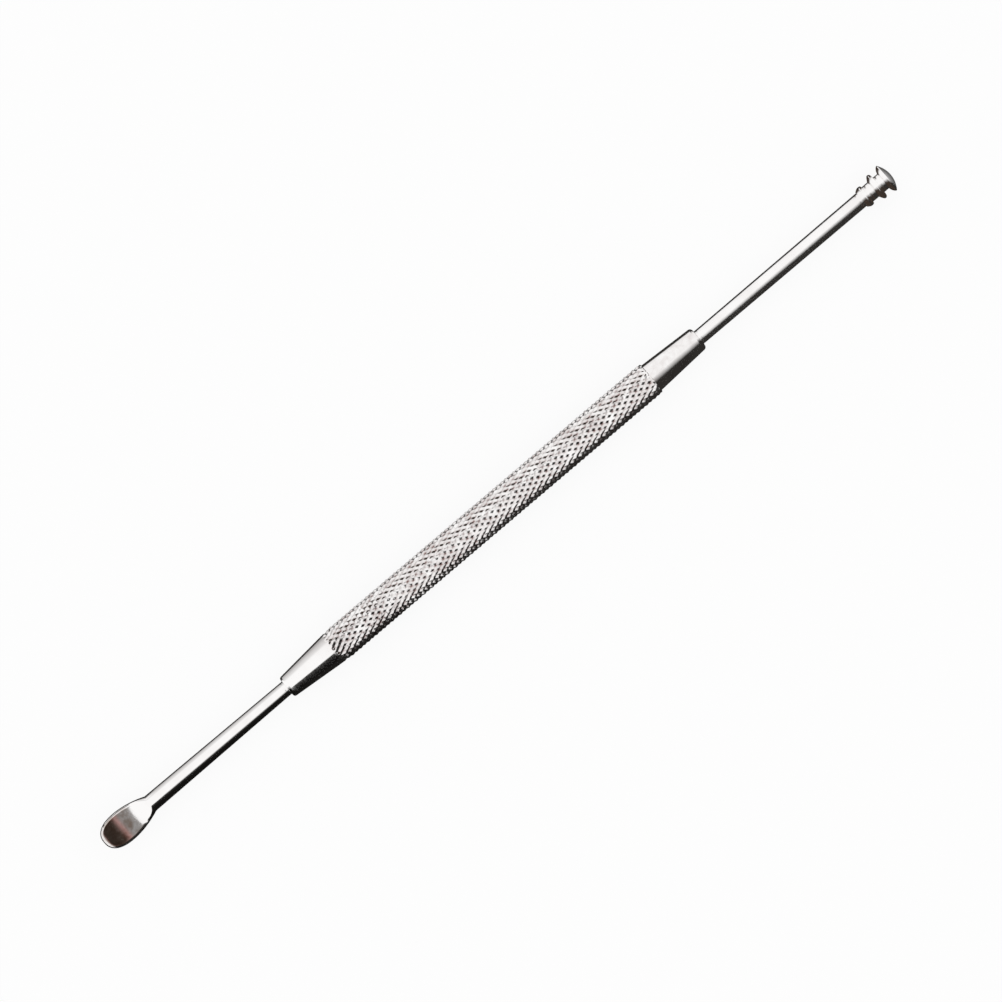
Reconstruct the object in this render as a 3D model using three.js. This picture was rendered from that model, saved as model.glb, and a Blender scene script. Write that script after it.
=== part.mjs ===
// Double-ended ear pick: a knurled steel handle with a shank pressed into each end.
// One shank ends in a small spoon, the other in a turned head of rings under a domed cap.
// Millimetres, +Z up. The tool lies along X on its barrel, with the spoon towards -X, its bowl facing up,
// and the ring head towards +X. The origin is under the middle of its length, on the surface it lies on.
import * as THREE from "three";

// Sockets in the handle, and the shanks' tails in them
const SHANK_DIAMETER = 2.15; // both shanks, where they enter the handle
const SOCKET_CLEARANCE = 0.04; // all round a tail, in place of the press fit
const SOCKET_DEPTH = 9.0; // from the shoulder to the end of the straight bore
const DRILL_POINT_ANGLE = 118; // degrees, at the bottom of each socket
const TAIL_GAP = 0.4; // between a tail's end and the end of the straight bore
const TAIL_CHAMFER = 0.25;

// Knurled barrel of the handle
const BARREL_LENGTH = 55.85;
const BARREL_DIAMETER = 5.0; // over the plain rim at each end
const RIM_CHAMFER = 0.15; // along the barrel, from its end to the rim
const CREST_DROP = 0.01; // of the knurl's crests, below the rims
const KNURL_STARTS = 18; // helical grooves of each hand
const KNURL_PITCH = 1.41; // along the barrel, from crest to crest
const KNURL_DEPTH = 0.17;

// Cones turned on both ends of the handle
const SPOON_CONE_LENGTH = 9.1;
const SPOON_CONE_STEP = 0.08; // from the rim down to the cone
const SPOON_CONE_WALL = 0.52; // round the socket's mouth
const SPOON_CONE_EDGE = 0.38; // rounding of the shoulder
const HEAD_CONE_LENGTH = 8.4;
const HEAD_CONE_STEP = 0.33;
const HEAD_CONE_WALL = 0.62;
const HEAD_CONE_EDGE = 0.5;

// Spoon shank
const SPOON_SHANK_LENGTH = 24.3; // from the handle to the neck of the spoon
const SPOON_NECK_DIAMETER = 2.52;
const BOWL_LENGTH = 8.15;
const BOWL_WIDTH = 4.53;
const BOWL_THICKNESS = 0.65;
const BOWL_DISH = 0.06; // from the bowl's sides to its middle
const BOWL_RISE = 2.2; // of the tip above the shank, in one even curve
const TIP_TO_WIDEST = 3.46;
const TIP_ROUNDNESS = 2.4; // power of the tip's outline, where 2 is an ellipse
const FLARE_ROUNDNESS = 1.85; // power of the outline from the widest place to the neck
const EDGE_ROUNDNESS = 6; // power of the tip's thickness, where more is blunter
const RIM_BLUNTNESS = 0.5; // power of the bowl's section, where 1 is an ellipse and less is blunter
const NECK_BLEND = 2.2; // length over which the round shank flattens into the bowl

// Ring shank
const RING_SHANK_LENGTH = 28.95; // from the handle to the head
const HEAD_SHANK_DIAMETER = 2.28; // of the shank, under the head
const HEAD_NECK_DIAMETER = 2.52; // between the rings
const COLLAR_LENGTH = 1.05;
const COLLAR_HEIGHT = 0.32; // above the neck
const COLLAR_NECK_LENGTH = 1.05;
const RING_LENGTH = 0.95;
const RING_HEIGHT = 0.74;
const RING_NECK_LENGTH = 0.82;
const CAP_FLARE_LENGTH = 0.55;
const CAP_HEIGHT = 0.89; // above the neck
const CAP_RIM = 0.12; // thickness of the cap's edge
const CAP_DOME = 0.7; // from the edge to the top of the dome

// Shares of a ring's length and height, and of the cap's flare, that shape their half-sections
const RING_SLOPE = 0.4; // of the length, where the slope's foot and crest lines would cross
const RING_CREST = 0.6; // of the length, where the crest lies
const RING_CORNER = 0.6; // of the height, taken by the round corner behind the crest
const FLARE_BEND = { length: 0.25, height: 0.7 }; // where the flare's foot and edge lines would cross

// How finely round shapes are cut into flats
const SHANK_SIDES = 28;
const HANDLE_SIDES = 2 * KNURL_STARTS; // a crest or a groove at each corner
const RIM_SIDES = 10 * HANDLE_SIDES; // fine, because the tool lies on its two rims
const CURVE_STEPS = 4;
const TIP_STEPS = 9;
const FLARE_STEPS = 12;

// Places along the tool, from the spoon's tip to the top of the cap
const HEAD_LENGTH = COLLAR_LENGTH + COLLAR_NECK_LENGTH + RING_LENGTH + RING_NECK_LENGTH
  + CAP_FLARE_LENGTH + CAP_RIM + CAP_DOME;
const HANDLE_LENGTH = SPOON_CONE_LENGTH + BARREL_LENGTH + HEAD_CONE_LENGTH;
const TOTAL_LENGTH = BOWL_LENGTH + SPOON_SHANK_LENGTH + HANDLE_LENGTH + RING_SHANK_LENGTH + HEAD_LENGTH;
const spoonTipX = -TOTAL_LENGTH / 2;
const neckX = spoonTipX + BOWL_LENGTH;
const spoonShoulderX = neckX + SPOON_SHANK_LENGTH;
const barrelStartX = spoonShoulderX + SPOON_CONE_LENGTH;
const barrelEndX = barrelStartX + BARREL_LENGTH;
const headShoulderX = barrelEndX + HEAD_CONE_LENGTH;
const headX = headShoulderX + RING_SHANK_LENGTH;

const barrelRadius = BARREL_DIAMETER / 2;
const shankRadius = SHANK_DIAMETER / 2;
const socketRadius = shankRadius + SOCKET_CLEARANCE;
const tailLength = SOCKET_DEPTH - TAIL_GAP;

const polished = new THREE.MeshStandardMaterial({ color: 0xc8c6c1, roughness: 0.18, metalness: 1 });
const knurled = new THREE.MeshStandardMaterial({ color: 0xbab6b2, roughness: 0.3, metalness: 1 });

// Corner angles round the axis, from +Y towards +Z, with flats facing +Y, +Z, -Y and -Z.
function cornerAngles(sides) {
  return Array.from({ length: sides }, (_, corner) => ((corner + 0.5) * 2 * Math.PI) / sides);
}

// A ring of points round the X axis, whose radius may differ from corner to corner.
function roundRing(sides, x, radiusAt) {
  return cornerAngles(sides).map((angle, corner) => {
    const radius = radiusAt(corner);
    return new THREE.Vector3(x, radius * Math.cos(angle), radius * Math.sin(angle));
  });
}

// Triangles between two neighbouring rings, given as lists of point numbers. A single point is a ring too.
// The ring that has gone round less moves on a corner next, so the rings may differ in their number of
// corners. When they are level, the shorter new edge is taken, so that a groove's floor is one line.
function stitch(points, from, to) {
  const distance = (a, b) => points[a].distanceTo(points[b]);
  const fromEdges = from.length > 1 ? from.length : 0;
  const toEdges = to.length > 1 ? to.length : 0;
  const triangles = [];
  let i = 0;
  let j = 0;
  while (i < fromEdges || j < toEdges) {
    const a = from[i % from.length];
    const b = from[(i + 1) % from.length];
    const c = to[(j + 1) % to.length];
    const d = to[j % to.length];
    const lead = (i + 1) / fromEdges - (j + 1) / toEdges;
    if (lead < 0 || (lead === 0 && distance(b, d) < distance(a, c))) {
      triangles.push(a, b, d);
      i += 1;
    } else {
      triangles.push(a, c, d);
      j += 1;
    }
  }
  return triangles;
}

// A closed skin from a first point, over rings of points, to a last point.
function skin(first, rings, last) {
  const points = [];
  const numbered = [[first], ...rings, [last]].map((ring) => ring.map((point) => points.push(point) - 1));
  const triangles = [];
  for (let ring = 0; ring + 1 < numbered.length; ring += 1) {
    triangles.push(...stitch(points, numbered[ring], numbered[ring + 1]));
  }
  const geometry = new THREE.BufferGeometry().setFromPoints(points);
  geometry.setIndex(triangles);
  geometry.computeVertexNormals();
  return geometry;
}

// Half-section of one end of the handle: up the socket to the shoulder, round its edge and along the cone.
// x is the depth from the shoulder and y the distance from the axis.
function handleEnd(length, step, wall, edge) {
  const baseRadius = barrelRadius - step;
  const mouthRadius = socketRadius + wall;
  const lean = Math.atan2(baseRadius - mouthRadius, length);
  const rounding = Math.min(edge, wall);
  const roundedLength = rounding * (1 - Math.sin(lean));
  const centre = baseRadius - (length - roundedLength) * Math.tan(lean) - rounding * Math.cos(lean);
  const outline = new THREE.Path();
  outline.moveTo(SOCKET_DEPTH, socketRadius);
  outline.lineTo(0, socketRadius);
  outline.lineTo(0, centre);
  outline.absarc(rounding, centre, rounding, Math.PI, Math.PI / 2 + lean, true);
  outline.lineTo(length, baseRadius);
  return outline.getPoints(CURVE_STEPS);
}

// Rings of crests and pits, in turn round the barrel and along it.
function knurlRings() {
  const crestRadius = barrelRadius - CREST_DROP;
  const spaces = Math.round((2 * BARREL_LENGTH) / KNURL_PITCH);
  return Array.from({ length: spaces - 1 }, (_, row) => {
    const x = barrelStartX + ((row + 1) * BARREL_LENGTH) / spaces;
    return roundRing(HANDLE_SIDES, x, (corner) => crestRadius - ((row + corner) % 2) * KNURL_DEPTH);
  });
}

function knurledHandle() {
  const drillPoint = socketRadius / Math.tan(THREE.MathUtils.degToRad(DRILL_POINT_ANGLE) / 2);
  const socketBottom = SOCKET_DEPTH + drillPoint;
  const spoonEnd = handleEnd(SPOON_CONE_LENGTH, SPOON_CONE_STEP, SPOON_CONE_WALL, SPOON_CONE_EDGE);
  const headEnd = handleEnd(HEAD_CONE_LENGTH, HEAD_CONE_STEP, HEAD_CONE_WALL, HEAD_CONE_EDGE).reverse();
  const rings = [
    ...spoonEnd.map((point) => roundRing(HANDLE_SIDES, spoonShoulderX + point.x, () => point.y)),
    roundRing(RIM_SIDES, barrelStartX + RIM_CHAMFER, () => barrelRadius),
    ...knurlRings(),
    roundRing(RIM_SIDES, barrelEndX - RIM_CHAMFER, () => barrelRadius),
    ...headEnd.map((point) => roundRing(HANDLE_SIDES, headShoulderX - point.x, () => point.y)),
  ];
  const first = new THREE.Vector3(spoonShoulderX + socketBottom, 0, 0);
  const last = new THREE.Vector3(headShoulderX - socketBottom, 0, 0);
  return skin(first, rings, last);
}

function bowlHalfWidth(fromTip) {
  const widest = BOWL_WIDTH / 2;
  if (fromTip < TIP_TO_WIDEST) {
    const share = 1 - fromTip / TIP_TO_WIDEST;
    return widest * (1 - share ** TIP_ROUNDNESS) ** (1 / TIP_ROUNDNESS);
  }
  const share = (fromTip - TIP_TO_WIDEST) / (BOWL_LENGTH - TIP_TO_WIDEST);
  return widest - (widest - SPOON_NECK_DIAMETER / 2) * share ** FLARE_ROUNDNESS;
}

// How far the flat bowl has turned into the round shank, from 0 to 1 at the neck.
function roundness(fromTip) {
  return THREE.MathUtils.smoothstep(fromTip, BOWL_LENGTH - NECK_BLEND, BOWL_LENGTH);
}

function bowlThickness(fromTip) {
  const towardsTip = Math.max(0, 1 - fromTip / TIP_TO_WIDEST);
  const thickness = THREE.MathUtils.lerp(BOWL_THICKNESS, SPOON_NECK_DIAMETER, roundness(fromTip));
  return thickness * Math.sqrt(1 - towardsTip ** EDGE_ROUNDNESS);
}

// Height of the middle of the bowl's wall along its centre line.
function bowlLift(fromTip) {
  const fromNeck = 1 - fromTip / BOWL_LENGTH;
  return BOWL_RISE * fromNeck ** 2;
}

// A section of the bowl: a flat, lifted oval whose sides curl up a little.
function bowlRing(fromTip) {
  const halfWidth = bowlHalfWidth(fromTip);
  const dish = BOWL_DISH * (1 - THREE.MathUtils.smoothstep(fromTip, TIP_TO_WIDEST, BOWL_LENGTH));
  const bluntness = THREE.MathUtils.lerp(RIM_BLUNTNESS, 1, roundness(fromTip));
  return cornerAngles(SHANK_SIDES).map((angle) => {
    const y = halfWidth * Math.cos(angle);
    const curl = dish * ((2 * y) / BOWL_WIDTH) ** 2;
    const side = Math.sign(Math.sin(angle)) * Math.abs(Math.sin(angle)) ** bluntness;
    const z = bowlLift(fromTip) + curl + (bowlThickness(fromTip) / 2) * side;
    return new THREE.Vector3(spoonTipX + fromTip, y, z);
  });
}

function spoonShank() {
  const rings = [];
  for (let step = 1; step <= TIP_STEPS; step += 1) {
    const share = Math.cos((step / TIP_STEPS) * (Math.PI / 2));
    rings.push(bowlRing(TIP_TO_WIDEST * (1 - share)));
  }
  for (let step = 1; step <= FLARE_STEPS; step += 1) {
    rings.push(bowlRing(THREE.MathUtils.lerp(TIP_TO_WIDEST, BOWL_LENGTH, step / FLARE_STEPS)));
  }
  const tailEndX = spoonShoulderX + tailLength;
  rings.push(roundRing(SHANK_SIDES, spoonShoulderX, () => shankRadius));
  rings.push(roundRing(SHANK_SIDES, tailEndX - TAIL_CHAMFER, () => shankRadius));
  rings.push(roundRing(SHANK_SIDES, tailEndX, () => shankRadius - TAIL_CHAMFER));
  return skin(new THREE.Vector3(spoonTipX, 0, bowlLift(0)), rings, new THREE.Vector3(tailEndX, 0, 0));
}

// One ring of the head, from its foot on the shank's side, up a round slope to its crest,
// then over a round corner and steeply down to the neck.
function addRing(outline, foot, length, height) {
  const neck = HEAD_NECK_DIAMETER / 2;
  const crest = neck + height;
  outline.quadraticCurveTo(foot + RING_SLOPE * length, crest, foot + RING_CREST * length, crest);
  outline.quadraticCurveTo(foot + length, crest, foot + length, crest - RING_CORNER * height);
  outline.lineTo(foot + length, neck);
}

// The underside of the cap flares from the neck to a thin edge, and a shallow dome closes it.
function addCap(outline, foot) {
  const neck = HEAD_NECK_DIAMETER / 2;
  const edge = neck + CAP_HEIGHT;
  const rimX = foot + CAP_FLARE_LENGTH;
  const domeX = rimX + CAP_RIM;
  const sphere = (edge ** 2 + CAP_DOME ** 2) / (2 * CAP_DOME);
  const bendX = foot + FLARE_BEND.length * CAP_FLARE_LENGTH;
  outline.quadraticCurveTo(bendX, neck + FLARE_BEND.height * CAP_HEIGHT, rimX, edge);
  outline.lineTo(domeX, edge);
  outline.absarc(domeX + CAP_DOME - sphere, 0, sphere, Math.asin(edge / sphere), 0, true);
}

function ringShank() {
  const tailEndX = headShoulderX - tailLength;
  const ringX = headX + COLLAR_LENGTH + COLLAR_NECK_LENGTH;
  const capX = ringX + RING_LENGTH + RING_NECK_LENGTH;
  const outline = new THREE.Path();
  outline.moveTo(tailEndX, 0);
  outline.lineTo(tailEndX, shankRadius - TAIL_CHAMFER);
  outline.lineTo(tailEndX + TAIL_CHAMFER, shankRadius);
  outline.lineTo(headShoulderX, shankRadius);
  outline.lineTo(headX, HEAD_SHANK_DIAMETER / 2);
  addRing(outline, headX, COLLAR_LENGTH, COLLAR_HEIGHT);
  outline.lineTo(ringX, HEAD_NECK_DIAMETER / 2);
  addRing(outline, ringX, RING_LENGTH, RING_HEIGHT);
  outline.lineTo(capX, HEAD_NECK_DIAMETER / 2);
  addCap(outline, capX);
  const halfSection = outline.getPoints(CURVE_STEPS).map((point) => new THREE.Vector2(point.y, point.x));
  return new THREE.LatheGeometry(halfSection, SHANK_SIDES).rotateZ(-Math.PI / 2);
}

function piece(name, geometry, material) {
  const mesh = new THREE.Mesh(geometry, material);
  mesh.name = name;
  return mesh;
}

const earPick = new THREE.Group();
earPick.add(piece("knurled_handle", knurledHandle(), knurled));
earPick.add(piece("spoon_shank", spoonShank(), polished));
earPick.add(piece("ring_shank", ringShank(), polished));

// The barrel lies on one flat of each rim.
earPick.position.z = barrelRadius * Math.cos(Math.PI / RIM_SIDES);

export default earPick;
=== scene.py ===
"""Looks of a double-ended steel ear pick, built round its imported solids.

Metres, +Z up. The tool lies along X on its barrel: the spoon towards -X with its bowl facing up,
the ring head towards +X. The camera looks straight down on it.
"""

import math

import bpy
import numpy as np
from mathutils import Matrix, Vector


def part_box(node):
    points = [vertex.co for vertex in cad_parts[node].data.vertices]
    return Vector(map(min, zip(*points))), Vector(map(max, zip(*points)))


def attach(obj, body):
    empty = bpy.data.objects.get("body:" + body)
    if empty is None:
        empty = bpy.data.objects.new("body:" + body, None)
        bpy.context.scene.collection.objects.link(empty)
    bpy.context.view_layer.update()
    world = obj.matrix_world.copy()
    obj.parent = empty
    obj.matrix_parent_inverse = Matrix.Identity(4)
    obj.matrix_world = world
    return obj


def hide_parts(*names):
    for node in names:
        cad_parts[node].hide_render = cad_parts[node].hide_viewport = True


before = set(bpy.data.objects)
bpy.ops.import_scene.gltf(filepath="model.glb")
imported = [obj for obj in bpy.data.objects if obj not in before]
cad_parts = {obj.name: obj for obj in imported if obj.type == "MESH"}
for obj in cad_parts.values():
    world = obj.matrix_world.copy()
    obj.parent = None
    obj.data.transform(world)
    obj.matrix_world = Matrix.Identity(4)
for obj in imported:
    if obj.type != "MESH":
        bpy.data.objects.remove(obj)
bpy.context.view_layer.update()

MM = 0.001

# Sockets in the handle, and the shanks' tails in them
SHANK_RADIUS = 1.075 * MM
SOCKET_RADIUS = 1.115 * MM
SOCKET_DEPTH = 9.0 * MM
SOCKET_POINT = 0.67 * MM  # depth of the drill point beyond the straight bore
SOCKET_CHAMFER = 0.04 * MM
TAIL_LENGTH = 8.6 * MM
TAIL_CHAMFER = 0.25 * MM

# Knurled barrel
BARREL_RADIUS = 2.5 * MM
SPOON_ROUNDING = 0.5 * MM  # of the barrel's end above the spoon cone
HEAD_ROUNDING = 0.4 * MM  # of the barrel's end above the head cone
KNURL_STARTS = 18  # helical grooves of each hand
KNURL_SPACES = 79  # half pitches along the barrel
KNURL_SHIFT = 0.5  # of the pattern along the barrel, in pitches
KNURL_DEPTH = 0.24 * MM  # where two grooves cross
SADDLE_SHARE = 0.43  # part of that depth which a groove lacks midway between its crossings
KNURL_LEAD = 1.1 * MM  # length of the knurl on the end of the spoon cone
SPOON_FADE = 0.7 * MM  # lengths over which the knurl fades out
HEAD_FADE = 0.3 * MM

# Cones of the handle: length, radius at the barrel, wall round the socket, rounding of the shoulder
SPOON_CONE = (9.1 * MM, 2.42 * MM, 0.52 * MM, 0.38 * MM)
HEAD_CONE = (8.4 * MM, 2.17 * MM, 0.62 * MM, 0.5 * MM)

# Spoon
BOWL_LENGTH = 8.15 * MM
BOWL_HALF_WIDTH = 2.265 * MM
BOWL_THICKNESS = 0.65 * MM
BOWL_RISE = 2.2 * MM  # of the tip above the shank
TIP_EASE = 0.9 * MM  # length at the tip over which the rise eases off
TIP_DROP = 0.2 * MM
BOWL_DISH = 0.06 * MM  # across the bowl
LIP_WIDTH = 0.52 * MM  # rounded edge round the bowl
BEVEL_WIDTH = 0.16 * MM  # steep outer part of that edge
BEVEL_SHARE = 0.75  # of half the thickness
TIP_TO_WIDEST = 3.46 * MM
TIP_ROUNDNESS = 2.4  # power of the tip's outline, where 2 is an ellipse
FLARE_ROUNDNESS = 1.85  # power of the outline from the widest place to the neck
NECK_RADIUS = 1.26 * MM
NECK_BLEND = 2.2 * MM

# Ring head
HEAD_SHANK_RADIUS = 1.14 * MM
HEAD_NECK_RADIUS = 1.26 * MM
HEAD_LENGTH = 5.24 * MM
COLLAR = (0.0, 1.05 * MM, 0.32 * MM)  # start from the head's foot, length, height above the neck
RING = (2.1 * MM, 0.95 * MM, 0.74 * MM)
RING_SLOPE = 0.4  # of a ring's length, where the tangents of its slope's two ends meet
RING_CREST = 0.6  # of a ring's length, where the slope ends on the crest
RING_CORNER = 0.6  # of a ring's height, which the round corner behind the crest takes
CAP_START = 3.87 * MM
CAP_FLARE = 0.55 * MM
CAP_HEIGHT = 0.89 * MM
CAP_RIM = 0.12 * MM
CAP_DOME = 0.7 * MM
FLARE_BEND = (0.25, 0.7)  # of the flare's length and height, where the tangents of its two ends meet

# Steel, and the soil on it as a share of the soiled colour; in the knurl's pits that soil also paints the
# shade that falls there
LIGHT_STEEL = (0.92, 0.906, 0.9)
DULL_STEEL = (0.845, 0.82, 0.81)
# soil colour, which in the knurl's pits also paints the shade there
GRIME_AND_SHADE = (0.2, 0.1, 0.085)
TARNISH = (0.52, 0.43, 0.37)
KNURL_SOIL_AND_SHADE = (0.3, 1.3)  # on the points of the pyramids, and in the pits as soil and painted shade together
PIT_START = 0.6  # share of the knurl's depth from which the soil and the painted shade gather
HEAD_CONE_SOIL = 0.2
BOWL_SOIL_END = (4.6 * MM, 5.6 * MM)  # from the tip, where the bowl's soil fades out
LIP_CLEANNESS = 4  # power that keeps the bowl's soil off its lip

# Noise in the steel: how often its patches come in a metre, and the part of its range that is used
DULL_GRAIN = 260.0
DULL_RANGE = (0.45, 0.75)
# patches of the soil, and of the painted shade in the knurl's pits
SOIL_AND_SHADE_GRAIN = 800.0
SOIL_AND_SHADE_SWIRL = 0.6
SOIL_AND_SHADE_RANGE = (0.35, 0.65)
PATCH_DETAIL = 4.0
LINE_RANGE = (0.3, 0.7)
LINE_DETAIL = 3.0
LINE_DEPTH = 0.004 * MM
LINE_STRENGTH = 0.12

# Finish of each steel: least and most roughness, and how often fine lines come in a metre along X, Y and Z
HANDLE_FINISH = ((0.09, 0.15), (9000, 700, 700))
SPOON_FINISH = ((0.06, 0.12), (250, 6000, 6000))
TURNED_FINISH = ((0.12, 0.2), (9000, 500, 500))

# How finely shapes are cut
ROUND_SIDES = 96
CELLS = 4  # mesh cells in half a pitch of the knurl: even, so that crests and pits fall on their corners
HANDLE_SIDES = 2 * KNURL_STARTS * CELLS
CURVE_STEPS = 10
ROUNDING_STEPS = 6
CONE_STEPS = 8
SHANK_STEPS = 9
BOWL_STEPS = 60
OUTLINE_STEPS = 4000  # on the bowl's outline and on along the neck, for measuring the lip
OUTLINE_REACH = 1.3  # root of that outline's length in bowl lengths, as its points lie closest at the tip
DOME_END = 0.03  # radians from the axis to the dome's last ring
SMOOTH_ANGLE = math.radians(32)
FACET_ANGLE = math.radians(14)  # on the knurl

# Places along the tool
handle_low, handle_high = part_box("knurled_handle")
spoon_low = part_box("spoon_shank")[0]
ring_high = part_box("ring_shank")[1]
axis_z = (handle_low.z + handle_high.z) / 2
spoon_shoulder_x = handle_low.x
head_shoulder_x = handle_high.x
barrel_start_x = spoon_shoulder_x + SPOON_CONE[0]
barrel_end_x = head_shoulder_x - HEAD_CONE[0]
knurl_start_x = barrel_start_x - KNURL_LEAD
knurl_pitch = 2 * (barrel_end_x - barrel_start_x) / KNURL_SPACES
tip_x = spoon_low.x
neck_x = tip_x + BOWL_LENGTH
head_x = ring_high.x - HEAD_LENGTH


def smoothstep(value, low, high):
    """0 below the low value, 1 above the high one, and an even S-curve between them."""
    share = np.clip((value - low) / (high - low), 0, 1)
    return share * share * (3 - 2 * share)


def lerp(a, b, share):
    """The value at a share of the way from a to b."""
    return a + (b - a) * share


def round_angles(sides):
    """Corner angles round the axis, from +Y towards +Z."""
    return (np.arange(sides) + 0.5) * 2 * math.pi / sides


def turned_rings(profile, sides):
    """Rings of points round the axis, one for each (x, radius) of the profile."""
    profile = np.array(profile)
    angles = round_angles(sides)
    x = np.repeat(profile[:, :1], sides, axis=1)
    y = profile[:, 1:] * np.cos(angles)
    z = profile[:, 1:] * np.sin(angles) + axis_z
    return np.stack([x, y, z], axis=-1)


def arc(centre_x, centre_r, radius, start, end):
    """Points of an arc in a half-section, as (x, radius), between two angles in radians from +X."""
    turns = np.linspace(start, end, CURVE_STEPS)
    return [(centre_x + radius * math.cos(t), centre_r + radius * math.sin(t)) for t in turns]


def bend(start, corner, end):
    """Points of a quadratic curve in a half-section, without its first point."""
    shares = np.linspace(0, 1, CURVE_STEPS)[1:]
    start, corner, end = np.array(start), np.array(corner), np.array(end)
    return [tuple((1 - t) ** 2 * start + 2 * t * (1 - t) * corner + t * t * end) for t in shares]


def taper(start, end, steps):
    """Points of a straight line in a half-section, without its first point."""
    shares = np.linspace(0, 1, steps)[1:]
    return [(lerp(start[0], end[0], t), lerp(start[1], end[1], t)) for t in shares]


def skin(name, first, rings, last, sharp=SMOOTH_ANGLE, folds=None):
    """A closed mesh from a first point, over rings of points, to a last point.

    folds tells for each cell whether it is folded along its first diagonal, or else along the second.
    """
    count, sides = rings.shape[:2]
    points = np.concatenate([[first], rings.reshape(-1, 3), [last]])
    number = 1 + np.arange(count * sides).reshape(count, sides)
    a, d = number[:-1], number[1:]
    b, c = np.roll(a, -1, axis=1), np.roll(d, -1, axis=1)
    a, b, c, d = (n.reshape(-1) for n in (a, b, c, d))
    pick = np.full((a.size, 1), True) if folds is None else folds.reshape(-1, 1)
    one = np.where(pick, np.stack([a, b, c], 1), np.stack([a, b, d], 1))
    two = np.where(pick, np.stack([a, c, d], 1), np.stack([b, c, d], 1))
    start, end = number[0], number[-1]
    tip = np.stack([np.zeros(sides, int), np.roll(start, -1), start], 1)
    tail = np.stack([end, np.roll(end, -1), np.full(sides, len(points) - 1)], 1)
    mesh = bpy.data.meshes.new(name)
    mesh.from_pydata(points.tolist(), [], np.concatenate([tip, one, two, tail]).tolist())
    mesh.shade_smooth()
    mesh.set_sharp_from_angle(angle=sharp)
    piece = bpy.data.objects.new(name, mesh)
    bpy.context.scene.collection.objects.link(piece)
    return piece


def soil_and_shade(piece, start, amounts):
    """Marks how soiled the piece's points are, from the numbered one on, where the knurl's pits take
    painted shade too.
    """
    values = np.zeros(len(piece.data.vertices), np.float32)
    values[start:start + amounts.size] = amounts.reshape(-1)
    piece.data.attributes.new("soil_and_shade", "FLOAT", "POINT").data.foreach_set("value", values)


def handle_end(length, base, wall, rounding):
    """Half-section of one end of the handle, from the socket's bottom to the barrel, as (depth, radius)."""
    mouth = SOCKET_RADIUS + wall
    lean = math.atan2(base - mouth, length)
    centre = base - (length - rounding * (1 - math.sin(lean))) * math.tan(lean) - rounding * math.cos(lean)
    bore = [(SOCKET_DEPTH, SOCKET_RADIUS), (SOCKET_CHAMFER, SOCKET_RADIUS)]
    edge = arc(rounding, centre, rounding, math.pi, math.pi / 2 + lean)
    cone = taper(edge[-1], (length, base), CONE_STEPS)
    return bore + [(0, SOCKET_RADIUS + SOCKET_CHAMFER)] + edge + cone


def groove(phase):
    """Depth of one hand's grooves, from 0 on the crests to 1 on the groove's floor."""
    return 1 - 2 * np.abs(phase - np.floor(phase) - 0.5)


def knurl(around, along):
    """Depth of the crossed grooves, from 0 on the points of the pyramids to 1 in the pits."""
    one = groove(around[None, :] + along[:, None])
    other = groove(around[None, :] - along[:, None])
    return lerp(np.maximum(one, other), np.minimum(one, other), SADDLE_SHARE)


def knurl_rows():
    """Places of the knurl's mesh rings along X: its own lattice, and more on the rounded head end."""
    lattice = np.arange(barrel_end_x, knurl_start_x, -knurl_pitch / (2 * CELLS))
    turns = np.linspace(0, math.pi / 2, ROUNDING_STEPS)[1:-1]
    rounded = barrel_end_x - HEAD_ROUNDING * (1 - np.cos(turns))
    return np.union1d(lattice, rounded)[:-1]


def knurl_folds(around, along, depth):
    """Tells for each mesh cell whether its first diagonal lies nearer to the true knurl than its second."""
    half_cell = (around[1] - around[0]) / 2
    middle = knurl(around + half_cell, (along[:-1] + along[1:]) / 2)
    beside = np.roll(depth, -1, axis=1)
    first_off = np.abs((depth[:-1] + beside[1:]) / 2 - middle)
    second_off = np.abs((beside[:-1] + depth[1:]) / 2 - middle)
    return first_off <= second_off


def barrel_radius(x):
    """Radius over the knurl's crests: the end of the spoon cone, then the barrel with both ends rounded."""
    length, base, wall = SPOON_CONE[:3]
    cone = base + (x - barrel_start_x) * (base - SOCKET_RADIUS - wall) / length
    from_spoon = np.clip((x - barrel_start_x) / SPOON_ROUNDING, 0, 1)
    from_head = np.clip((barrel_end_x - x) / HEAD_ROUNDING, 0, 1)
    spoon_drop = (BARREL_RADIUS - base) * (1 - from_spoon) ** 2
    head_drop = (BARREL_RADIUS - HEAD_CONE[1]) * (1 - np.sqrt(1 - (1 - from_head) ** 2))
    return np.where(x < barrel_start_x, cone, BARREL_RADIUS - spoon_drop - head_drop)


def knurled_barrel():
    """Rings of points over the knurl, the folds of its cells, and the soil on its points, with painted
    shade in its pits.
    """
    rows = knurl_rows()
    fade = smoothstep(rows, knurl_start_x, knurl_start_x + SPOON_FADE)
    fade = (fade * (1 - smoothstep(rows, barrel_end_x - HEAD_FADE, barrel_end_x)))[:, None]
    around = np.arange(HANDLE_SIDES) / (2 * CELLS)
    along = (rows - barrel_start_x) / knurl_pitch - KNURL_SHIFT
    depth = knurl(around, along)
    radius = barrel_radius(rows)[:, None] - KNURL_DEPTH * (depth * fade)
    angles = round_angles(HANDLE_SIDES)
    x = np.repeat(rows[:, None], HANDLE_SIDES, axis=1)
    rings = np.stack([x, radius * np.cos(angles), radius * np.sin(angles) + axis_z], axis=-1)
    # soil all over, and more in the pits, where it is painted shade as well as soil
    amounts = lerp(*KNURL_SOIL_AND_SHADE, smoothstep(depth, PIT_START, 1)) * fade
    return rings, knurl_folds(around, along, depth), amounts


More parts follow.
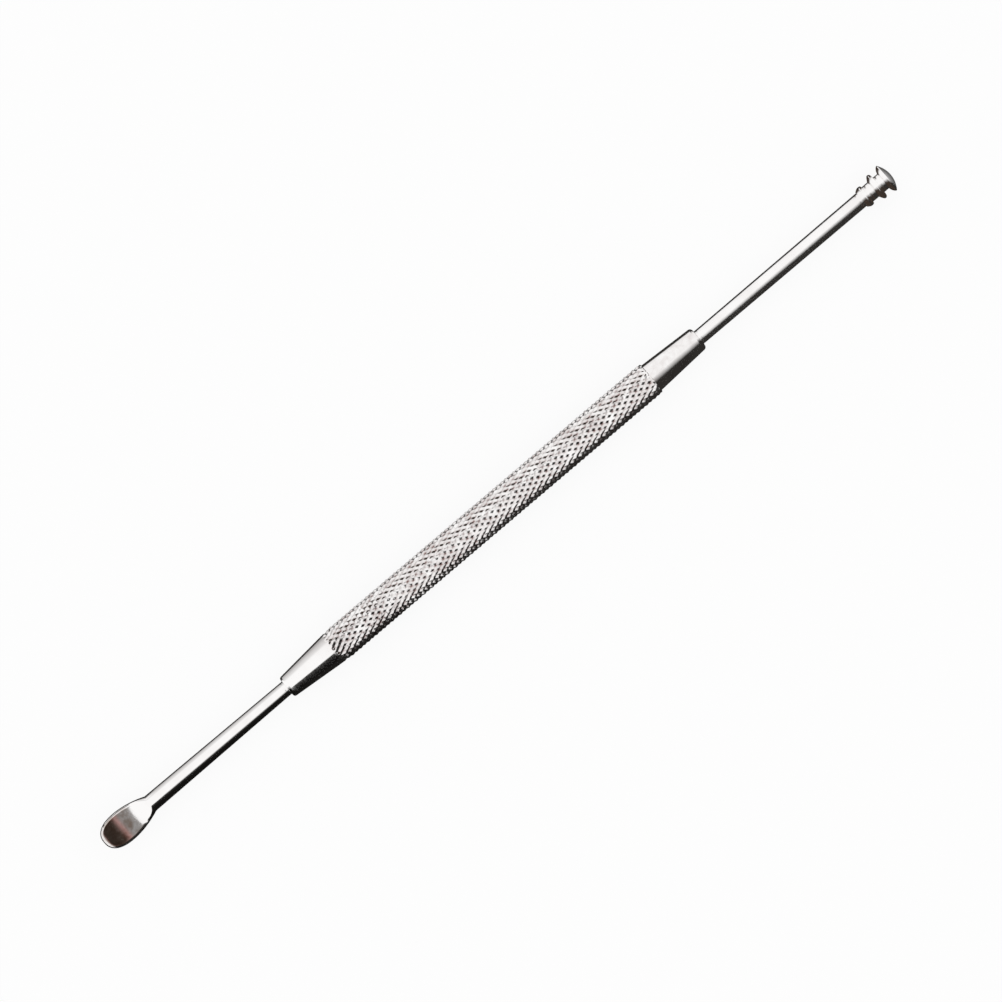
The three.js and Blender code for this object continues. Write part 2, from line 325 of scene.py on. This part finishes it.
def knurled_handle():
    """The handle: a drilled and coned end, the knurled barrel, and the other end."""
    spoon_end = [(spoon_shoulder_x + depth, radius) for depth, radius in handle_end(*SPOON_CONE)]
    spoon_end = [(x, radius) for x, radius in spoon_end if x < knurl_start_x or radius <= SOCKET_RADIUS]
    head_end = [(head_shoulder_x - depth, radius) for depth, radius in handle_end(*HEAD_CONE)][::-1]
    barrel, barrel_folds, knurl_soil_and_shade = knurled_barrel()
    spoon_rings = turned_rings(spoon_end, HANDLE_SIDES)
    head_rings = turned_rings(head_end, HANDLE_SIDES)
    rings = np.concatenate([spoon_rings, barrel, head_rings])
    folds = np.full((len(rings) - 1, HANDLE_SIDES), True)
    folds[len(spoon_rings):len(spoon_rings) + len(barrel_folds)] = barrel_folds
    bottom = SOCKET_DEPTH + SOCKET_POINT
    first = (spoon_shoulder_x + bottom, 0, axis_z)
    last = (head_shoulder_x - bottom, 0, axis_z)
    piece = skin("handle_knurled", first, rings, last, FACET_ANGLE, folds)
    cone_soil = np.full((len(head_rings), HANDLE_SIDES), HEAD_CONE_SOIL)
    soil_and_shade(piece, 1 + len(spoon_rings) * HANDLE_SIDES, np.concatenate([knurl_soil_and_shade, cone_soil]))
    return piece


def bowl_half_width(from_tip):
    """Half the bowl's width: a round tip, the widest place, and a flare down to the neck."""
    towards = np.clip(1 - from_tip / TIP_TO_WIDEST, 0, 1)
    tip = BOWL_HALF_WIDTH * (1 - towards ** TIP_ROUNDNESS) ** (1 / TIP_ROUNDNESS)
    back = np.clip((from_tip - TIP_TO_WIDEST) / (BOWL_LENGTH - TIP_TO_WIDEST), 0, 1)
    return tip - (BOWL_HALF_WIDTH - NECK_RADIUS) * back ** FLARE_ROUNDNESS


def bowl_lift(from_tip):
    """Height of the middle of the bowl's wall above the axis, where the rise eases off at the tip."""
    from_neck = 1 - from_tip / BOWL_LENGTH
    at_tip = np.clip(1 - from_tip / TIP_EASE, 0, 1)
    return BOWL_RISE * from_neck ** 2 - TIP_DROP * at_tip ** 2


def lip(from_tip, y):
    """Share of the full thickness near the bowl's outline, from 0 at its edge to 1 inside the lip."""
    edge = np.linspace(0, OUTLINE_REACH, OUTLINE_STEPS) ** 2 * BOWL_LENGTH
    outline = np.stack([edge, bowl_half_width(edge)], 1)
    away = np.hypot(outline[:, 0] - from_tip, outline[:, 1] - np.abs(y)[:, None]).min(axis=1)
    bevel = BEVEL_SHARE * np.clip(away / BEVEL_WIDTH, 0, 1)
    inner = np.clip((away - BEVEL_WIDTH) / (LIP_WIDTH - BEVEL_WIDTH), 0, 1)
    return bevel + (1 - BEVEL_SHARE) * (1 - (1 - inner) ** 2)


def bowl_ring(from_tip):
    """A section of the bowl: a flat blade with round lips, which turns into the round neck."""
    angles = round_angles(ROUND_SIDES)
    y = bowl_half_width(from_tip) * np.cos(angles)
    roundness = smoothstep(from_tip, BOWL_LENGTH - NECK_BLEND, BOWL_LENGTH)
    dish = BOWL_DISH * (1 - smoothstep(from_tip, TIP_TO_WIDEST, BOWL_LENGTH))
    blade = BOWL_THICKNESS / 2 * lip(from_tip, y) * np.sign(np.sin(angles))
    neck = NECK_RADIUS * np.sin(angles)
    z = bowl_lift(from_tip) + dish * (y / BOWL_HALF_WIDTH) ** 2 + lerp(blade, neck, roundness)
    return np.stack([np.full(ROUND_SIDES, tip_x + from_tip), y, z + axis_z], axis=-1)


def spoon_shank():
    """The spoon's bowl, with its places closest at the tip, then its shank and tail."""
    turns = np.linspace(0, math.pi / 2, BOWL_STEPS)[1:]
    places = BOWL_LENGTH * (1 - np.cos(turns))
    bowl = np.stack([bowl_ring(from_tip) for from_tip in places])
    tail_x = spoon_shoulder_x + TAIL_LENGTH
    shank = taper((neck_x, NECK_RADIUS), (spoon_shoulder_x, SHANK_RADIUS), SHANK_STEPS)
    shank += [(tail_x - TAIL_CHAMFER, SHANK_RADIUS), (tail_x, SHANK_RADIUS - TAIL_CHAMFER)]
    rings = np.concatenate([bowl, turned_rings(shank, ROUND_SIDES)])
    first = (tip_x, 0, bowl_lift(0) + axis_z)
    piece = skin("spoon_polished", first, rings, (tail_x, 0, axis_z))
    inside = np.stack([lip(from_tip, ring[:, 1]) for from_tip, ring in zip(places, bowl)])
    upper = np.sin(round_angles(ROUND_SIDES)) > 0
    near_tip = 1 - smoothstep(places, *BOWL_SOIL_END)
    soil_and_shade(piece, 1, inside ** LIP_CLEANNESS * upper * near_tip[:, None])
    return piece


def head_ring(start, length, height):
    """Half-section of one ring of the head: a round slope, a crest and a steep back."""
    foot = head_x + start
    back = foot + length
    crest = HEAD_NECK_RADIUS + height
    top = (foot + RING_CREST * length, crest)
    slope = bend((foot, HEAD_NECK_RADIUS), (foot + RING_SLOPE * length, crest), top)
    corner = bend(top, (back, crest), (back, crest - RING_CORNER * height))
    return [(foot, HEAD_NECK_RADIUS)] + slope + corner + [(back, HEAD_NECK_RADIUS)]


def head_cap():
    """Half-section of the cap: a flare from the neck, a thin rim and a dome."""
    foot = head_x + CAP_START
    edge = HEAD_NECK_RADIUS + CAP_HEIGHT
    rim = foot + CAP_FLARE
    dome = rim + CAP_RIM
    sphere = (edge ** 2 + CAP_DOME ** 2) / (2 * CAP_DOME)
    corner = (foot + FLARE_BEND[0] * CAP_FLARE, HEAD_NECK_RADIUS + FLARE_BEND[1] * CAP_HEIGHT)
    flare = bend((foot, HEAD_NECK_RADIUS), corner, (rim, edge))
    top = arc(dome + CAP_DOME - sphere, 0, sphere, math.asin(edge / sphere), DOME_END)
    return [(foot, HEAD_NECK_RADIUS)] + flare + top


def ring_shank():
    """The turned shank: its tail, its rod, and the head's collar, ring and cap."""
    tail_x = head_shoulder_x - TAIL_LENGTH
    profile = [(tail_x, SHANK_RADIUS - TAIL_CHAMFER), (tail_x + TAIL_CHAMFER, SHANK_RADIUS)]
    profile += [(head_shoulder_x, SHANK_RADIUS)]
    profile += taper(profile[-1], (head_x, HEAD_SHANK_RADIUS), SHANK_STEPS)
    profile += head_ring(*COLLAR) + head_ring(*RING) + head_cap()
    rings = turned_rings(profile, ROUND_SIDES)
    return skin("ring_polished", (tail_x, 0, axis_z), rings, (ring_high.x, 0, axis_z))


def add_node(tree, kind, **values):
    """A new node, with values for its own settings or its inputs."""
    node = tree.nodes.new(kind)
    for name, value in values.items():
        if hasattr(node, name):
            setattr(node, name, value)
        else:
            node.inputs[name].default_value = value
    return node


def mapped(tree, source, low, high, to_low=0.0, to_high=1.0):
    """A node that maps a source's range to another one, and holds its ends."""
    node = add_node(tree, "ShaderNodeMapRange")
    for name, value in zip(("From Min", "From Max", "To Min", "To Max"), (low, high, to_low, to_high)):
        node.inputs[name].default_value = value
    tree.links.new(source, node.inputs["Value"])
    return node.outputs["Result"]


def mixed(tree, factor, first, second):
    """A node that mixes two colours, the first of which may be another node's output."""
    node = add_node(tree, "ShaderNodeMix", data_type="RGBA")
    tree.links.new(factor, node.inputs["Factor"])
    if isinstance(first, tuple):
        node.inputs["A"].default_value = (*first, 1)
    else:
        tree.links.new(first, node.inputs["A"])
    node.inputs["B"].default_value = (*second, 1)
    return node.outputs["Result"]


def steel(name, soil_and_shade_colour, roughness, lines):
    """Polished steel with fine lines, dull patches, and patches of soil where a piece is marked for it,
    with painted shade in the knurl's pits.

    roughness is its least and its most. lines is how often the fine lines come along X, Y and Z.
    """
    material = bpy.data.materials.new(name)
    material.use_nodes = True
    tree = material.node_tree
    shader = tree.nodes["Principled BSDF"]
    shader.inputs["Metallic"].default_value = 1.0
    link = tree.links.new
    place = add_node(tree, "ShaderNodeTexCoord").outputs["Object"]
    stretch = add_node(tree, "ShaderNodeMapping")
    stretch.inputs["Scale"].default_value = lines
    link(place, stretch.inputs["Vector"])
    fine = add_node(tree, "ShaderNodeTexNoise", Scale=1.0, Detail=LINE_DETAIL)
    link(stretch.outputs["Vector"], fine.inputs["Vector"])
    dull = add_node(tree, "ShaderNodeTexNoise", Scale=DULL_GRAIN, Detail=PATCH_DETAIL)
    link(place, dull.inputs["Vector"])
    patches = add_node(tree, "ShaderNodeTexNoise", Scale=SOIL_AND_SHADE_GRAIN, Detail=PATCH_DETAIL)
    patches.inputs["Distortion"].default_value = SOIL_AND_SHADE_SWIRL
    link(place, patches.inputs["Vector"])

    colour = mixed(tree, mapped(tree, dull.outputs["Fac"], *DULL_RANGE), LIGHT_STEEL, DULL_STEEL)
    # marks of soil, and of painted shade in the knurl's pits
    marks = add_node(tree, "ShaderNodeAttribute", attribute_name="soil_and_shade")
    amount = add_node(tree, "ShaderNodeMath", operation="MULTIPLY")
    link(marks.outputs["Fac"], amount.inputs[0])
    link(mapped(tree, patches.outputs["Fac"], *SOIL_AND_SHADE_RANGE), amount.inputs[1])
    colour = mixed(tree, amount.outputs["Value"], colour, soil_and_shade_colour)
    link(colour, shader.inputs["Base Color"])
    link(mapped(tree, fine.outputs["Fac"], *LINE_RANGE, *roughness), shader.inputs["Roughness"])

    bump = add_node(tree, "ShaderNodeBump", Strength=LINE_STRENGTH, Distance=LINE_DEPTH)
    link(fine.outputs["Fac"], bump.inputs["Height"])
    link(bump.outputs["Normal"], shader.inputs["Normal"])
    return material


def dress(piece, node, material):
    """Gives a piece its steel, and puts it in the place of a node."""
    piece.data.materials.append(material)
    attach(piece, "root")
    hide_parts(node)


handle_steel = steel("handle_steel", GRIME_AND_SHADE, *HANDLE_FINISH)
spoon_steel = steel("spoon_steel", TARNISH, *SPOON_FINISH)
turned_steel = steel("turned_steel", GRIME_AND_SHADE, *TURNED_FINISH)
dress(knurled_handle(), "knurled_handle", handle_steel)
dress(spoon_shank(), "spoon_shank", spoon_steel)
dress(ring_shank(), "ring_shank", turned_steel)


# Stage: a white surround and floor, with cards round the tool that only its reflections see
SURROUND = 1.05
FLOOR_SHADE = 0.8
FLOOR_WHITE = 0.9  # share of plain white in the floor, the rest takes the tool's shadow
FLOOR_REACH = 4.0
BLACK = (0.007, 0.0065, 0.006)
DARK = (0.03, 0.028, 0.026)
GREY = (0.3, 0.29, 0.285)
PINK = (0.42, 0.24, 0.22)
BROWN = (0.05, 0.036, 0.028)
WHITE = (SURROUND, SURROUND, SURROUND)
MOTTLE_DETAIL = 3.0

# Dark flag along the -Y side: places along X, degrees from straight up to its edge there, degrees over
# which the edge fades, and how dark it gets, from white at 0 over dark at FLAG_DARK to black at 1
FLAG_RADIUS = 0.5
FLAG_X = (-0.2, -0.155, -0.11, -0.08, -0.045, -0.02, 0.03, 0.05, 0.11, 0.2, 0.33, 1.2)
FLAG_EDGE = (29, 29, 29, 22, 28, 33, 30, 4, 4, 22, 62, 75)
FLAG_SOFT = (1.5, 1.5, 1.5, 14, 18, 20, 22, 42, 42, 25, 15, 15)
FLAG_DEPTH = (0, 1, 1, 1, 1, 0.9, 0.8, 0.8, 0.8, 0.8, 0.8, 0.8)
FLAG_DARK = 0.8
FLAG_FOOT = 89.5  # degrees from straight up
FLAG_ROWS = 16
FLAG_LIFT = 0.1 * MM  # above the floor, beside the tool

# Brown flag on the +Y side: its distance, degrees from straight up to its rows, and degrees off to +X
# to its two sides
BACK_FLAG_AWAY = 2.0
BACK_FLAG_TURNS = (30, 38, 53, 64, 76, 88)
BACK_FLAG_LEANS = (20, 46)

# Grey behind the spoon's shank and cone: y and the two ends in x of its rows on the floor, heights of its
# rows on the wall above the last of them, and how light each row is, from grey at 0 to white at 1
GREY_FLOOR = (
    (0.0065, -0.06, -0.0285),
    (0.0083, -0.0605, -0.0285),
    (0.025, -0.064, -0.028),
    (0.5, -0.2, -0.02),
    (2.0, -0.6, 0.0),
)
GREY_HEIGHTS = (0.21, 0.73, 1.3, 1.5)
GREY_LIGHTS = (0.2, 0.24, 0.48, 0.54, 0.56, 0.6, 0.71, 0.93, 1)
GREY_LIFT = 0.06 * MM

# Upright flag facing the spoon: its place, its columns, the first two of which are dark, and its colours
# at heights from its top to its foot
SPOON_FLAG_X = -0.02
SPOON_FLAG_Y = (-0.3, -0.036, -0.024, 0.02)
SPOON_FLAG_COLOURS = ((0.1395, GREY), (0.083, GREY), (0.0735, PINK), (0.0645, BROWN), (0.015, DARK))
SPOON_FLAG_MOTTLE = 0.06
SPOON_FLAG_GRAIN = 60.0
SPOON_FLAG_BACK = 0.2 * MM  # from the flag to its white back

# These discs paint, in the steel's reflections only, a highlight on the upper +Y side of the shoulders and
# rings and shade on the rest.
# Thin discs off the shoulders and between the head's rings: inner and outer radius, places from the
# shoulders and from the head's foot, and how light they are at angles from straight up towards +Y
SHOULDER_DISC = (1.2 * MM, 4.5 * MM)
SHOULDER_DISC_GAP = 0.4 * MM
HEAD_DISC = (1.3 * MM, 6.0 * MM)
HEAD_DISC_STARTS = (-0.25 * MM, 1.55 * MM, 3.45 * MM)
DISC_ANGLES = (-20, 0, 58, 76)
DISC_LIGHTS = (0, 1, 1, 0)
DISC_TURN = 176  # degrees from straight up to the disc's two ends
DISC_STEPS = 45

# Painted shadow of the tool on the floor close beside it, which only the steel's reflections see: places
# along X, its reach towards +Y there, and how light it is, from dark at 0 to white at 1
CONTACT_X = (-0.095, -0.07, -0.061, -0.038, 0.027, 0.036, 0.065, 0.066, 0.07, 0.078, 0.1, 0.13)
CONTACT_REACH = (0.03, 0.03, 0.02, 0.009, 0.011, 0.014, 0.014, 0.008, 0.006, 0.008, 0.01, 0.01)
CONTACT_LIGHT = (0, 0, 0, 0, 0, 0, 0, 0, 0, 0.35, 0.75, 1)
CONTACT_FADE = 0.75  # share of the way across from which it fades to white
CONTACT_LIFT = 0.05 * MM


def stage_mesh(name, points, faces, material):
    """A mesh of the stage, which is no part of the tool."""
    mesh = bpy.data.meshes.new(name)
    mesh.from_pydata(points, [], faces)
    mesh.materials.append(material)
    item = bpy.data.objects.new(name, mesh)
    bpy.context.scene.collection.objects.link(item)
    return item


def glow(name, stops, mottle, grain):
    """A material that shines with colours set along the card's share, mottled a little."""
    material = bpy.data.materials.new(name)
    material.use_nodes = True
    tree = material.node_tree
    link = tree.links.new
    tree.nodes.remove(tree.nodes["Principled BSDF"])
    share = add_node(tree, "ShaderNodeAttribute", attribute_name="share")
    noise = add_node(tree, "ShaderNodeTexNoise", Scale=grain, Detail=MOTTLE_DETAIL)
    place = add_node(tree, "ShaderNodeTexCoord")
    link(place.outputs["Object"], noise.inputs["Vector"])
    shift = add_node(tree, "ShaderNodeMath", operation="MULTIPLY_ADD")
    shift.inputs[1].default_value = mottle
    link(noise.outputs["Fac"], shift.inputs[0])
    link(share.outputs["Fac"], shift.inputs[2])
    ramp = add_node(tree, "ShaderNodeValToRGB")
    while len(ramp.color_ramp.elements) < len(stops):
        ramp.color_ramp.elements.new(0.5)
    for element, (position, colour) in zip(ramp.color_ramp.elements, stops):
        element.position = position + mottle / 2
        element.color = (*colour, 1)
    link(shift.outputs["Value"], ramp.inputs["Fac"])
    emission = add_node(tree, "ShaderNodeEmission", Strength=1.0)
    link(ramp.outputs["Color"], emission.inputs["Color"])
    link(emission.outputs["Emission"], tree.nodes["Material Output"].inputs["Surface"])
    material.cycles.emission_sampling = "NONE"
    return material


def card(name, rows, shares, stops, mottle=0.0, grain=1.0):
    """A sheet over rows of points, which only reflections see.

    shares places each row, or each of its points, along the colours.
    """
    count = len(rows[0])
    points = [point for row in rows for point in row]
    faces = []
    for first in range(0, len(points) - count, count):
        corners = range(first, first + count - 1)
        faces += [(i, i + 1, i + count + 1, i + count) for i in corners]
    sheet = stage_mesh(name, points, faces, glow(name, stops, mottle, grain))
    values = [np.broadcast_to(np.array(share, np.float32), count) for share in shares]
    attribute = sheet.data.attributes.new("share", "FLOAT", "POINT")
    attribute.data.foreach_set("value", np.concatenate(values))
    sheet.visible_camera = False
    sheet.visible_shadow = False
    sheet.visible_diffuse = False
    sheet.visible_transmission = False


def across(x, radius, degrees):
    """A point round the tool's axis, at an angle from straight up towards +Y."""
    turn = math.radians(degrees)
    return (x, radius * math.sin(turn), axis_z + radius * math.cos(turn))


def side_flag():
    """Dark flag on the -Y side, from a soft edge high up down to the floor and along it to the tool."""
    ends = list(zip(FLAG_X, FLAG_EDGE, FLAG_SOFT))
    rows = [[across(x, FLAG_RADIUS, -edge) for x, edge, soft in ends]]
    shares = [0]
    for share in np.linspace(0, 1, FLAG_ROWS):
        turns = [-lerp(edge + soft, FLAG_FOOT, share) for x, edge, soft in ends]
        rows.append([across(x, FLAG_RADIUS, turn) for x, turn in zip(FLAG_X, turns)])
        darkest = lerp(FLAG_DARK, 1, 2 * share)  # black from half way down
        shares.append([min(depth, darkest) for depth in FLAG_DEPTH])
    rows.append([(x, -BARREL_RADIUS, FLAG_LIFT) for x in FLAG_X])
    shares.append(FLAG_DEPTH)
    card("side_flag", rows, shares, [(0, WHITE), (FLAG_DARK, DARK), (1, BLACK)])


def back_flag():
    """Brown flag on the +Y side, off to +X, for the knurl's +X facets. Its upper edge fades to white."""
    places = [BACK_FLAG_AWAY * math.tan(math.radians(lean)) for lean in BACK_FLAG_LEANS]
    rows = [[across(x, BACK_FLAG_AWAY, turn) for x in places] for turn in BACK_FLAG_TURNS]
    shares = [1] + [0] * (len(rows) - 1)
    card("back_flag", rows, shares, [(0, BROWN), (1, WHITE)])


def back_grey():
    """Grey of the floor and wall behind the spoon's shank and cone, lighter with height."""
    rows = [[(x, y, GREY_LIFT) for x in ends] for y, *ends in GREY_FLOOR]
    wall_y, *wall_ends = GREY_FLOOR[-1]
    rows += [[(x, wall_y, z) for x in wall_ends] for z in GREY_HEIGHTS]
    card("back_grey", rows, GREY_LIGHTS, [(0, GREY), (1, WHITE)])


def spoon_flag():
    """Upright flag facing the spoon, which its bowl reflects: grey above, then a pink streak, then dark."""
    heights = [z for z, colour in SPOON_FLAG_COLOURS]
    top, foot = heights[0], heights[-1]
    shares = [(top - z) / (top - foot) for z in heights]
    stops = [(share, colour) for share, (z, colour) in zip(shares, SPOON_FLAG_COLOURS)]
    rows = [[(SPOON_FLAG_X, y, z) for y in SPOON_FLAG_Y] for z in heights]
    row_shares = [(1, 1, share, share) for share in shares]
    card("spoon_flag", rows, row_shares, stops, SPOON_FLAG_MOTTLE, SPOON_FLAG_GRAIN)
    sides = (SPOON_FLAG_Y[0], SPOON_FLAG_Y[-1])
    behind = [[(SPOON_FLAG_X + SPOON_FLAG_BACK, y, z) for y in sides] for z in (top, foot)]
    card("spoon_flag_back", behind, [0, 0], [(0, WHITE), (1, WHITE)])


def half_discs():
    """Discs off both shoulders and between the head's rings, white on their upper +Y part and else dark:
    painted highlight and shade in the steel.
    """
    discs = [(head_shoulder_x + SHOULDER_DISC_GAP, SHOULDER_DISC, DARK)]
    discs += [(spoon_shoulder_x - SHOULDER_DISC_GAP, SHOULDER_DISC, BLACK)]
    discs += [(head_x + start, HEAD_DISC, BROWN) for start in HEAD_DISC_STARTS]
    turns = np.linspace(-DISC_TURN, DISC_TURN, DISC_STEPS)
    light = np.interp(turns, DISC_ANGLES, DISC_LIGHTS)
    for number, (x, radii, shade) in enumerate(discs):
        rows = [[across(x, radius, turn) for turn in turns] for radius in radii]
        card(f"half_disc_{number}", rows, [light, light], [(0, shade), (1, WHITE)])


def contact_shadow():
    """Painted shadow on the floor close beside the tool and off its ends, as the steel's limbs reflect it.
    """
    rows = []
    for share in (0, CONTACT_FADE, 1):
        sides = [lerp(-BARREL_RADIUS, reach, share) for reach in CONTACT_REACH]
        rows.append([(x, y, CONTACT_LIFT) for x, y in zip(CONTACT_X, sides)])
    card("contact_shadow", rows, [CONTACT_LIGHT, CONTACT_LIGHT, 1], [(0, DARK), (1, WHITE)])


def floor():
    """Matt floor: mostly plain white to the camera and in reflections, so that the shadow stays faint."""
    material = bpy.data.materials.new("floor")
    material.use_nodes = True
    tree = material.node_tree
    link = tree.links.new
    shader = tree.nodes["Principled BSDF"]
    shader.inputs["Base Color"].default_value = (FLOOR_SHADE, FLOOR_SHADE, FLOOR_SHADE, 1)
    shader.inputs["Roughness"].default_value = 1.0
    shader.inputs["Specular IOR Level"].default_value = 0.0
    path = add_node(tree, "ShaderNodeLightPath")
    seen = path.outputs["Is Camera Ray"]
    for kind in ("Is Glossy Ray", "Is Transmission Ray"):
        both = add_node(tree, "ShaderNodeMath", operation="MAXIMUM")
        link(seen, both.inputs[0])
        link(path.outputs[kind], both.inputs[1])
        seen = both.outputs["Value"]
    share = add_node(tree, "ShaderNodeMath", operation="MULTIPLY")
    share.inputs[1].default_value = FLOOR_WHITE
    link(seen, share.inputs[0])
    white = add_node(tree, "ShaderNodeEmission", Strength=1.0)
    mix = add_node(tree, "ShaderNodeMixShader")
    link(share.outputs["Value"], mix.inputs["Fac"])
    link(shader.outputs["BSDF"], mix.inputs[1])
    link(white.outputs["Emission"], mix.inputs[2])
    link(mix.outputs["Shader"], tree.nodes["Material Output"].inputs["Surface"])
    material.cycles.emission_sampling = "NONE"
    near, far = -FLOOR_REACH, FLOOR_REACH
    corners = [(near, near, 0), (far, near, 0), (far, far, 0), (near, far, 0)]
    stage_mesh("floor", corners, [(0, 1, 2, 3)], material)


def surround():
    """White world, which lights the tool evenly."""
    world = bpy.data.worlds.new("surround")
    bpy.context.scene.world = world
    world.use_nodes = True
    background = world.node_tree.nodes["Background"]
    background.inputs["Color"].default_value = (1, 1, 1, 1)
    background.inputs["Strength"].default_value = SURROUND
    world.cycles.sampling_method = "NONE"


# Camera: the tool's middle is a little left of and below the middle of the square picture
PICTURE = 1002
PIXELS_PER_METRE = 7368
TILT = math.radians(40.35)  # of the tool in the picture
OFFSET = (3.3, 7.5)  # pixels from the tool's middle to the picture's, right and up
CAMERA_HEIGHT = 1.5
SENSOR = 36.0


def camera():
    """Camera straight above the tool, turned so that the tool lies aslant in the picture."""
    data = bpy.data.cameras.new("camera")
    data.sensor_width = SENSOR
    data.lens = SENSOR * CAMERA_HEIGHT * PIXELS_PER_METRE / PICTURE
    item = bpy.data.objects.new("camera", data)
    bpy.context.scene.collection.objects.link(item)
    right, up = (pixels / PIXELS_PER_METRE for pixels in OFFSET)
    x = right * math.cos(TILT) + up * math.sin(TILT)
    y = -right * math.sin(TILT) + up * math.cos(TILT)
    item.location = (x, y, axis_z + CAMERA_HEIGHT)
    item.rotation_euler = (0, 0, -TILT)
    bpy.context.scene.camera = item


side_flag()
back_flag()
back_grey()
spoon_flag()
half_discs()
contact_shadow()
floor()
surround()
camera()
bpy.context.scene.view_settings.view_transform = "Standard"
